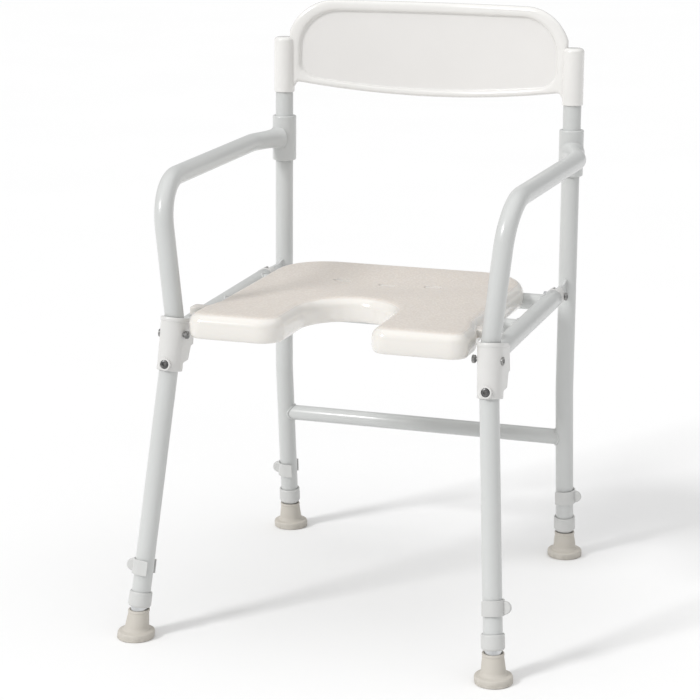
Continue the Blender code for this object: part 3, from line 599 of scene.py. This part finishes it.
def panel_high(x):
    """The panel's upper edge: level, with wide rounded corners inside the shoulders."""
    return 0.772 - 0.052 + np.sqrt(0.052**2 - np.clip(np.abs(x) - 0.134, 0, 0.052) ** 2)


def framed(x, low, high, rise):
    """A grid between a lower and an upper edge, and its border as one anticlockwise loop."""
    grid = np.stack([np.broadcast_to(x, (len(rise), len(x))), low(x) + (high(x) - low(x)) * rise], -1)
    return grid, np.concatenate([grid[0], grid[1:-1, -1], grid[-1, ::-1], grid[-2:0:-1, 0]])


spacing = np.sin(np.linspace(-1, 1, 161) * math.pi / 2)
rise = np.linspace(0, 1, 41)[:, None]
panel, panel_loop = framed(0.186 * spacing, panel_low, panel_high, rise)
edge_loop = framed(0.203 * spacing, back_low, back_top, rise)[1]
section = [(0.0, 0.0), (0.02, 0.0022), (0.07, 0.0040), (0.16, 0.0054), (0.30, 0.0063), (0.46, 0.0066),
           (0.62, 0.0064), (0.76, 0.0058), (0.84, 0.0050), (0.885, 0.0038), (0.92, 0.0022), (0.955, 0.0013),
           (1.0, 0.0010)]
PANEL_LIFT, TO_BACK = 0.0010, np.array([1, 1, -0.55])


def bent(shape):
    """Points given as X, Z and a lift off the panel's middle surface, set in the world."""
    x, z, lift = np.moveaxis(shape, -1, 0)
    return np.stack([x, back_bow(x, z) - lift, z], -1)


fronts = [np.column_stack([edge_loop + (panel_loop - edge_loop) * share, np.full(len(edge_loop), lift)])
          for share, lift in section]
backs = [ring * TO_BACK for ring in fronts[1:]]
face = np.concatenate([panel, np.full(panel[..., :1].shape, PANEL_LIFT)], -1)
face_quads = quads(*panel.shape[:2], columns_close=False)
back_parts = [skin(bent(np.array(backs[::-1] + fronts))), (bent(face), face_quads),
              (bent(face * TO_BACK), face_quads)]
for side in SIDES.values():
    ends = rear_point(side, 0.657), rear_point(side, 0.735)
    tall = np.linalg.norm(ends[1] - ends[0])
    outside = rounded([(0.0, 0.0129), (0.0, 0.0146), (tall, 0.0146), (tall + 0.0002, 0.0)],
                      [0.0003, 0.0012, 0.0058, 0.0], 10, closed=False)
    profile = np.vstack([outside, [(0.0675, 0.0), (0.0675, 0.0129)], outside[:1]])
    back_parts.append(skin(turned(*ends, profile, 56)))

gloss = Finish("white_moulded_plastic", Subsurface_Weight=0.05, Subsurface_Radius=(0.004, 0.004, 0.004),
               Coat_Weight=0.35, Coat_Roughness=0.06)
cloud = gloss.place.noise(11.0, 2.0)
ripple = gloss.place.noise(60.0, 2.0)
gloss.set(Base_Color=cloud.mix((0.755, 0.745, 0.725, 1), (0.795, 0.785, 0.765, 1)))
gloss.set(Roughness=(cloud * 0.08 + 0.16).clipped())
gloss.set(Normal=gloss.relief(ripple, 0.00012))
spark = Finish("white_spark_texture", Subsurface_Weight=0.05, Subsurface_Radius=(0.004, 0.004, 0.004))
cloud = spark.place.noise(11.0, 2.0)
etch = spark.place.noise(1500.0, 3.0, 0.6)
spark.set(Base_Color=cloud.mix((0.735, 0.722, 0.705, 1), (0.770, 0.758, 0.742, 1)))
spark.set(Roughness=(etch * 0.16 + 0.36).clipped())
spark.set(Normal=spark.relief(etch, 0.00006, spark.relief(spark.place.noise(60.0, 2.0), 0.00010)))
backrest = piece("backrest_moulding", *joined(*back_parts), gloss.material, 85)
backrest.data.materials.append(spark.material)
centres = np.empty(len(backrest.data.polygons) * 3)
backrest.data.polygons.foreach_get("center", centres)
centres = centres.reshape(-1, 3)
on_panel = inside_loop(centres[:, [0, 2]], panel_loop)
backrest.data.polygons.foreach_set("material_index", on_panel.astype(np.int32))
stands_for(backrest, "backrest")


# ---------------------------------------------------------------------------
# Knuckles. White mouldings where arm, front leg and seat rail meet: a sleeve with two flat cheeks that
# reach back on both sides of the rail, stepped in below it, and a raised ring round the leg's bolt.

KNUCKLE_BASE, KNUCKLE_TALL = 0.349, 0.068
knuckle_low = np.array([0.21575, -0.18938, KNUCKLE_BASE])
knuckle_high = np.array([0.21238, -0.17468, KNUCKLE_BASE + KNUCKLE_TALL])
lean = (knuckle_high - knuckle_low) / KNUCKLE_TALL


def knuckle_axis(z):
    """The sleeve's axis at a height."""
    return knuckle_low + (z - KNUCKLE_BASE) * lean


def leg_bolt_line(side):
    """The middle of the leg at its bolt, and the bolt's direction: forwards and square to the leg."""
    up = unit(front_point(side, 0.2) - front_point(side, 0.0))
    return front_point(side, 0.3575), unit(np.array([0, -1.0, 0]) + up * up[1])


def matt_moulding(name, shades, cloud_scale, etch_scale, uneven, dull, **numbers):
    """A matt moulded plastic: soft clouds in its colour, and a fine etched grain."""
    matt = Finish(name, **numbers)
    cloud = matt.place.noise(cloud_scale, 3.0)
    etch = matt.place.noise(etch_scale, 2.0)
    matt.set(Base_Color=cloud.mix(*shades))
    matt.set(Roughness=(etch * 0.12 + cloud * uneven + dull).clipped())
    matt.set(Normal=matt.relief(etch, 0.00003))
    return matt.material


def cheek_depth(z):
    """How far the cheeks reach behind the sleeve's axis at a height: full beside the rail, stepped below."""
    levels = [0.349, 0.3505, 0.3576, 0.3582, 0.3752, 0.3760, 0.4085, 0.4125, 0.4150]
    rear = [-0.1850, -0.1830, -0.1800, -0.1612, -0.1540, -0.1462, -0.1462, -0.1475, -0.1530]
    return np.interp(z, levels, rear)


def knuckle_section(axis, radius, rear, inner_gap=0.0128):
    """One level outline, anticlockwise: round in front, straight along each cheek, and round again between
    them."""
    front = np.radians(np.linspace(180, 360, 33))
    loop = [np.stack([radius * np.cos(front), radius * np.sin(front)], -1)]
    depth = max(rear - axis[1], 0.0094)
    inner_gap = min(inner_gap, radius * 0.82)
    start = math.sqrt(radius**2 - inner_gap**2)
    ease = np.interp(depth, [0.0094, 0.0150], [0.0027, 0.0010])
    cheek = rounded([(radius, 0.0), (radius, depth), (inner_gap, depth), (inner_gap, start)],
                    [0, ease, ease, 0], 4, closed=False)
    loop.append(cheek[1:])
    first = math.atan2(start, inner_gap)
    hollow = np.linspace(first, math.pi - first, 21)[1:-1]
    loop.append(np.stack([radius * np.cos(hollow), radius * np.sin(hollow)], -1))
    loop.append((cheek * [-1, 1])[::-1][:-1])
    flat = np.concatenate(loop)
    return np.column_stack([axis[0] + flat[:, 0], axis[1] + flat[:, 1], np.full(len(flat), axis[2])])


heights = [(0.3490, -0.0009), (0.3493, -0.0004), (0.3500, 0.0), (0.3540, 0.0), (0.3576, 0.0), (0.3582, 0.0),
           (0.3600, 0.0), (0.3660, 0.0), (0.3735, 0.0), (0.3752, 0.0), (0.3760, 0.0), (0.3850, 0.0),
           (0.3950, 0.0), (0.4050, 0.0), (0.4085, 0.0), (0.4110, 0.0), (0.4116, 0.0001), (0.4120, 0.0006),
           (0.4125, 0.0008), (0.4150, 0.0008), (0.4162, 0.0005), (0.4168, 0.0), (0.4170, -0.0007)]
bore_rows = [(0.4170, 0.0131), (0.4150, 0.0131), (0.4144, 0.0139), (0.3865, 0.0139), (0.3860, 0.0128),
             (0.3490, 0.0128)]
boss_profile = rounded([(0.0, 0.0080), (0.0058, 0.0080), (0.0058, 0.0058), (0.0026, 0.0057),
                        (0.0026, 0.0030), (0.0, 0.0030)], [0, 0.0007, 0.0005, 0.0002, 0, 0], 5)
white = matt_moulding("white_knuckle_plastic", ((0.640, 0.635, 0.620, 1), (0.690, 0.684, 0.670, 1)),
                      30.0, 1300.0, 0.06, 0.26, Coat_Weight=0.12, Coat_Roughness=0.15,
                      Subsurface_Weight=0.04, Subsurface_Radius=(0.003, 0.003, 0.003))
for word, side in SIDES.items():
    rings = []
    for z, ease in heights:
        radius = 0.0156 + 0.0012 * (z - KNUCKLE_BASE) / KNUCKLE_TALL + ease
        rings.append(knuckle_section(knuckle_axis(z), radius, cheek_depth(z)))
    angle = np.arctan2(rings[0][:, 1] - knuckle_low[1], rings[0][:, 0] - knuckle_low[0])
    for z, radius in bore_rows:
        rings.append(knuckle_axis(z) + radius * np.stack([np.cos(angle), np.sin(angle), 0 * angle], -1))
    grid = np.array(rings)
    square = np.interp(grid[..., 2], [0.3545, 0.3575, 0.385, 0.404], [1.0, 0.0, 0.0, 1.0])
    off_axis = grid - knuckle_axis(grid[..., 2:])
    grid[..., 2] -= square * (off_axis[..., :2] * lean[:2]).sum(-1)
    grid *= [side, 1, 1]
    place, forward = leg_bolt_line(side)
    boss = turned(place + forward * 0.0120, place + forward * 0.0220, boss_profile, 48)
    stands_for(piece(f"knuckle_{word}_moulding", *shells(grid, boss), white, 42), f"knuckle_{word}")


# ---------------------------------------------------------------------------
# Rail plugs. White mouldings pushed into the rails' ends: a fork at the back, with two round cheeks
# astride the hinge lug, and a plain tongue at the front that the knuckle hides.

def fork_cheek(side, which, back, radius=0.0124, slot=0.0030):
    """Half of a round bar with a ball end, split by the lug's slot. Each section is the part of a circle
    beyond the slot: an arc and its chord. The circle's radius follows a quarter round at the ball."""
    ball = HINGE_Y + radius * np.sin(np.radians(np.linspace(8, 72, 12)))
    reach = np.concatenate([[back, back], np.linspace(back, HINGE_Y, 8)[1:], ball])
    sizes = np.sqrt(np.maximum(radius**2 - np.maximum(reach - HINGE_Y, 0) ** 2, 0))
    rings = []
    for y, size in zip(reach, sizes):
        limit = math.acos(slot / size)
        arc = np.linspace(-limit, limit, 25)
        flat = np.column_stack([size * np.cos(arc), size * np.sin(arc)])
        chord = np.linspace(flat[-1], flat[0], 9)[1:-1]
        section = np.vstack([flat, chord])
        x = side * RAIL_X + which * section[:, 0]
        rings.append(np.column_stack([x, np.full(len(section), y), rail_point(1, y)[2] + section[:, 1]]))
    rings = np.array(rings)
    rings[0] = rings[0].mean(0)
    last = rings[-1].mean(0)
    return np.concatenate([rings, np.broadcast_to(last, rings[:1].shape)])


collar_profile = rounded([(0.0, 0.0), (0.0, 0.0127), (0.0040, 0.0127), (0.0040, 0.0)],
                         [0, 0.0005, 0.0008, 0], 4)
stem_profile = [(0.0, 0.0), (0.0, 0.0108), (0.0165, 0.0108), (0.0175, 0.0098), (0.0175, 0.0)]
for word, side in SIDES.items():
    back = RAIL_BACK + 0.0003
    cheeks = [fork_cheek(side, which, back) for which in (-1.0, 1.0)]
    root = turned(rail_point(side, back), rail_point(side, back + 0.01), collar_profile, 48)
    stem = turned(rail_point(side, back), rail_point(side, back - 0.018), stem_profile, 40)
    stands_for(piece(f"rail_fork_{word}", *shells(*cheeks, root, stem), white), f"rail_rear_plug_{word}")
    plug = frame["nodes"][f"rail_front_plug_{word}"]
    plug.data.materials.clear()
    plug.data.materials.append(white)


# ---------------------------------------------------------------------------
# Screws and nuts. Zinc-plated socket screws through the hinges and knuckles, coloured darker than the other
# zinc as painted shade for the knuckles' recessed screw holes, black ones through the front legs, hexagon
# nuts, and small bright screws under the seat and behind the backrest.

def metal(name, low, high, dull, rough):
    """Plated steel: fine turning marks, soft stains and a dull film in patches."""
    plate = Finish(name, Metallic=1.0)
    cloud = plate.place.noise(180.0, 3.0)
    marks = plate.place.noise(2400.0, 2.0)
    plate.set(Base_Color=cloud.step(0.4, 0.7).mix(low, high))
    plate.set(Roughness=(cloud * dull + marks * 0.10 + rough).clipped())
    plate.set(Normal=plate.relief(marks, 0.00001))
    return plate.material


zinc = metal("zinc_plated_steel", (0.46, 0.47, 0.48, 1), (0.60, 0.61, 0.62, 1), 0.18, 0.20)
black = metal("black_oxide_steel", (0.130, 0.130, 0.132, 1), (0.260, 0.256, 0.250, 1), 0.12, 0.20)
# Painted shade: a darker copy of the zinc that stands in for the shade in the knuckles' recessed screw holes.
# The hinge screws and knuckle nuts use it too.
painted_shade_zinc = metal("zinc_steel_with_painted_shade", (0.200, 0.200, 0.196, 1), (0.360, 0.356, 0.348, 1), 0.14, 0.24)


SCREW_SIDES = 48
six = (whole_turn(SCREW_SIDES) + math.pi / 6) % (math.pi / 3) - math.pi / 6
HEXAGON = math.cos(math.pi / 6) / np.cos(six)
M6, SMALL = (0.0054, 0.0028, 0.0029), (0.0038, 0.0022, 0.0019)


def ringed(place, direction, rows):
    """Rings round an axis, from rows that give the size round the ring and the depth along the axis."""
    direction = unit(np.asarray(direction, float))
    aside = (0.0, 0.0, 1.0) if abs(direction[2]) < 0.9 else (1.0, 0.0, 0.0)
    first = unit(np.cross(direction, aside))
    spokes = around(whole_turn(SCREW_SIDES), first, np.cross(direction, first))
    rings = [place + direction * depth + spokes * np.reshape(size, (-1, 1)) for size, depth in rows]
    return np.array(rings)


def screw(place, direction, size, length):
    """A socket screw. Its size is the head's radius and height and the shank's radius. The head's rings
    are round outside and turn into a hexagon down the socket; the shank steps in below the head and ends
    in a small cone. The place is the head's underside."""
    head, tall, shank = size
    key = head * 0.56 * HEXAGON
    crown = 0.18 * tall
    rows = [(0.0, -tall * 0.10), (key * 0.98, -tall * 0.18), (key, -tall + crown * 0.4), (key * 1.10, -tall),
            (head * 0.86, -tall), (head * 0.96, -tall + crown * 0.5), (head, -tall + crown * 1.6),
            (head, -crown * 0.3), (head * 0.985, 0.0), (shank, 0.0), (shank, length * 0.96),
            (shank * 0.6, length), (0.0, length)]
    return ringed(place, direction, rows)


def nut(place, direction, radius=0.0055, height=0.0042, bore=0.0032):
    """A hexagon nut with both rims chamfered: a hexagon clipped by a circle that is smaller at the faces."""
    rims = [(0.86, 0.0), (0.95, 0.10), (1.0, 0.16), (1.0, 0.84), (0.95, 0.90), (0.86, 1.0)]
    rows = [(bore, 0.0003), (bore + 0.0003, 0.0)]
    rows += [(radius * np.minimum(HEXAGON, share), height * depth) for share, depth in rims]
    rows += [(bore + 0.0003, height), (bore, height - 0.0003)]
    return ringed(place, direction, rows)


for word, side in SIDES.items():
    out = np.array([side, 0, 0])
    pivot = np.array([side * RAIL_X, -0.1807, 0.396])
    hinge = np.array([side * RAIL_X, HINGE_Y, HINGE_Z])
    bolt, forward = leg_bolt_line(side)
    behind = rear_point(side, 0.690) + [0, 0.0149, 0]
    parts = {
        f"knuckle_screw_{word}": (screw(pivot + out * 0.0175, -out, M6, 0.0385), painted_shade_zinc),
        f"hinge_screw_{word}": (screw(hinge + out * 0.0128, -out, M6, 0.0306), painted_shade_zinc),
        f"leg_bolt_{word}": (screw(bolt + forward * 0.0149, -forward, M6, 0.0365), black),
        f"knuckle_nut_{word}": (nut(pivot - out * 0.0161, -out), painted_shade_zinc),
        f"hinge_nut_{word}": (nut(hinge - out * 0.0130, -out), zinc),
        f"leg_nut_{word}": (nut(bolt - forward * 0.0170, -forward), zinc),
        f"back_screw_{word}": (screw(behind, (0, -1, 0), SMALL, 0.0021), zinc),
    }
    for node, (rings, finish) in parts.items():
        stands_for(piece(f"{node}_turned", *joined(skin(rings, "nut" in node)), finish, 30), node)
for index, (x, y) in enumerate([(x, y) for y in CROSS_TUBE_YS for x in SEAT_SCREW_XS]):
    rings = screw(np.array([x, y, rail_point(1, y)[2] - 0.0113]), (0, 0, 1), SMALL, 0.0265)
    node = f"seat_screw_{index + 1}"
    stands_for(piece(f"{node}_turned", *joined(skin(rings)), zinc, 30), node)


# ---------------------------------------------------------------------------
# Leg ends. On each leg a grey plastic collar caps the outer tube, an aluminium inner tube with height
# holes slides through it, a spring clip locks the height, and a soft rubber foot is pushed on below.

grey = matt_moulding("grey_collar_plastic", ((0.560, 0.562, 0.552, 1), (0.610, 0.612, 0.600, 1)),
                     40.0, 1200.0, 0.08, 0.30, Coat_Weight=0.08, Coat_Roughness=0.2,
                     Subsurface_Weight=0.03, Subsurface_Radius=(0.003, 0.003, 0.003))

rubber = Finish("cream_rubber", Specular_IOR_Level=0.35)
cloud = rubber.place.noise(35.0, 4.0)
dust = (1 - rubber.z.step(0.001, 0.012)) * rubber.place.noise(120.0, 4.0).step(0.35, 0.7)
pores = rubber.place.noise(900.0, 3.0, 0.6)
shade = cloud.mix((0.520, 0.490, 0.440, 1), (0.575, 0.545, 0.495, 1))
rubber.set(Base_Color=(dust * 0.45).mix(shade, (0.36, 0.34, 0.30, 1)))
rubber.set(Roughness=(pores * 0.15 + cloud * 0.10 + 0.46).clipped())
rubber.set(Normal=rubber.relief(pores, 0.00005))

bright = Finish("drawn_aluminium", Metallic=1.0)
drawn_place = bright.place.node("Mapping", 0, {"Vector": bright.place, "Scale": (2200.0, 2200.0, 30.0)})
drawn = drawn_place.noise(1.0, 3.0)
bright.set(Base_Color=drawn.mix((0.62, 0.63, 0.64, 1), (0.74, 0.75, 0.76, 1)))
bright.set(Roughness=(drawn * 0.16 + 0.22).clipped())
bright.set(Normal=bright.relief(drawn, 0.000008))


def leg_frame(axis_point, side):
    """The leg's own directions: up along it, outwards, and across."""
    up = unit(axis_point(side, 0.2) - axis_point(side, 0.0))
    out = np.array([side, 0, 0.0])
    out = unit(out - up * (out @ up))
    return up, out, np.cross(up, out)


collar_section = rounded([(0.0, 0.01125), (0.0, 0.0138), (0.0026, 0.0152), (0.0190, 0.0150),
                          (0.0202, 0.0141), (0.0202, 0.0128), (0.0037, 0.0128), (0.0037, 0.01125)],
                         [0.0003, 0.0008, 0.0010, 0.0012, 0.0006, 0.0004, 0.0003, 0.0003], 4)
foot_outside = rounded([(0.0116, 0.0075), (0.0116, 0.0375), (0.0141, 0.0375), (0.0143, 0.0348),
                        (0.0137, 0.0338), (0.0139, 0.0320), (0.0160, 0.0140), (0.0185, 0.0108),
                        (0.0236, 0.0098), (0.0245, 0.0078), (0.0245, 0.0040), (0.0240, 0.0034),
                        (0.0244, 0.0028), (0.0242, 0.0008), (0.0228, 0.0)],
                       [0.0002, 0.0004, 0.0010, 0.0006, 0.0004, 0.002, 0.004, 0.002, 0.0014, 0.0016,
                        0.0004, 0.0003, 0.0003, 0.0006, 0.0003], 6, closed=False)
foot_grooves = [(0.0205, 0.0), (0.0198, 0.0012), (0.0182, 0.0012), (0.0175, 0.0), (0.0145, 0.0),
                (0.0138, 0.0012), (0.0122, 0.0012), (0.0115, 0.0), (0.0, 0.0)]
foot_profile = np.vstack([[(0.0, 0.0075)], foot_outside, foot_grooves])
foot_radius, foot_height = foot_profile[:, :1], foot_profile[:, 1:]

band_radius, half_wall, half_height = 0.0143, 0.0012, 0.0100
arc = np.radians(np.linspace(90, -90, 41))
round_part = np.column_stack([np.cos(arc), np.sin(arc)])
tail = np.array([(-0.0104, band_radius), (-0.0101, band_radius), (-0.0060, band_radius)])
line = np.vstack([tail, band_radius * round_part, tail[::-1] * [1, -1]])
normal = np.vstack([[(0, 1)] * 3, round_part, [(0, -1)] * 3])
wall = rounded([(-half_wall, -half_height), (half_wall, -half_height), (half_wall, half_height),
                (-half_wall, half_height)], 0.0006, 5)
ease = np.concatenate([[0.0, 0.93], np.ones(len(line) - 4), [0.93, 0.0]])[:, None, None]
band_flat = line[:, None] + normal[:, None] * wall[None, :, :1] * ease
band_high = wall[None, :, 1:] * ease
knob = rounded([(-0.0030, 0.0), (-0.0030, 0.0084), (0.0030, 0.0084), (0.0030, 0.0)],
               [0, 0.0018, 0.0018, 0], 6)
pin_profile = [(0.0, 0.0), (0.0, 0.0028), (0.0024, 0.0028), (0.0024, 0.0)]

for word, side in SIDES.items():
    for end, axis_point in (("front", front_point), ("rear", rear_point)):
        leg = f"{end}_{word}"
        up, out, across = leg_frame(axis_point, side)
        base = axis_point(side, 0.041)
        collar = turned(base, base + up * 0.03, collar_section, 64)
        stands_for(piece(f"leg_collar_{leg}_moulding", *shells(collar), grey), f"leg_collar_{leg}")

        angle = whole_turn(72)
        ground = axis_point(side, 0.0)
        drift = up[:2] / up[2]
        rings = np.stack([ground[0] + drift[0] * foot_height + foot_radius * np.cos(angle),
                          ground[1] + drift[1] * foot_height + foot_radius * np.sin(angle),
                          foot_height + 0 * angle], -1)
        stands_for(piece(f"foot_{leg}_rubber", *joined(skin(rings)), rubber.material, 34), f"foot_{leg}")

        node = frame["nodes"][f"leg_extension_{leg}"]
        node.data.materials.clear()
        node.data.materials.append(bright.material)
        node.data.shade_smooth()
        node.data.set_sharp_from_angle(angle=math.radians(40))

        middle = axis_point(side, 0.093)
        band = middle + band_flat[..., :1] * out + band_flat[..., 1:] * across + band_high * up
        centre = middle + out * 0.0160
        disc = turned(centre, centre + across * 0.01, knob, 48)
        outwards = (disc - middle) @ out
        disc = disc + (np.maximum(outwards, 0.0134) - outwards)[..., None] * out
        pin = turned(middle + out * 0.0116, middle + out * 0.0140, pin_profile, 24)
        stands_for(piece(f"height_clip_{leg}_moulding", *shells(band, disc, pin), grey), f"height_clip_{leg}")


# ---------------------------------------------------------------------------
# Studio. A pale floor that runs on past the view, soft light from all round, a key light in front on the
# left and a wide one overhead, and the camera above the backrest, looking a little down.

FLOOR_REACH = 40.0
floor_corners = [(x * FLOOR_REACH, y * FLOOR_REACH, 0) for x, y in ((-1, -1), (1, -1), (1, 1), (-1, 1))]
floor_mesh = bpy.data.meshes.new("floor")
floor_mesh.from_pydata(floor_corners, [], [(0, 1, 2, 3)])
floor = bpy.data.objects.new("floor", floor_mesh)
bpy.context.scene.collection.objects.link(floor)
pale = Finish("pale_floor", Roughness=0.9, Specular_IOR_Level=0.1)
pale.set(Base_Color=pale.place.noise(2.0, 2.0).mix((0.90, 0.90, 0.90, 1), (0.92, 0.92, 0.92, 1)))
floor_mesh.materials.append(pale.material)


def soft_sun(name, towards, spread, strength):
    """Even light over the whole floor. It comes from a direction, as wide as its spread in degrees."""
    data = bpy.data.lights.new(name, "SUN")
    data.energy = strength
    data.angle = math.radians(spread)
    light = bpy.data.objects.new(name, data)
    bpy.context.scene.collection.objects.link(light)
    x, y, z = towards
    light.rotation_euler = (math.atan2(math.hypot(x, y), z), 0, math.atan2(x, -y))


soft_sun("key", (-0.50, -0.66, 0.56), 12, 1.55)
soft_sun("top", (0.10, -0.10, 1.0), 80, 1.15)

world = bpy.data.worlds.new("studio")
bpy.context.scene.world = world
world.use_nodes = True
background = world.node_tree.nodes["Background"]
background.inputs["Color"].default_value = (1.0, 1.0, 1.0, 1)
background.inputs["Strength"].default_value = 0.47
bpy.context.scene.view_settings.view_transform = "Standard"

camera_data = bpy.data.cameras.new("camera")
camera = bpy.data.objects.new("camera", camera_data)
bpy.context.scene.collection.objects.link(camera)
camera_data.lens = 120.8
camera_data.sensor_width = 36.0
camera.location = (0.9613, -2.9036, 1.1196)
camera.rotation_euler = (math.radians(90 - 14.15), 0.0, math.radians(18.88))
bpy.context.scene.camera = camera
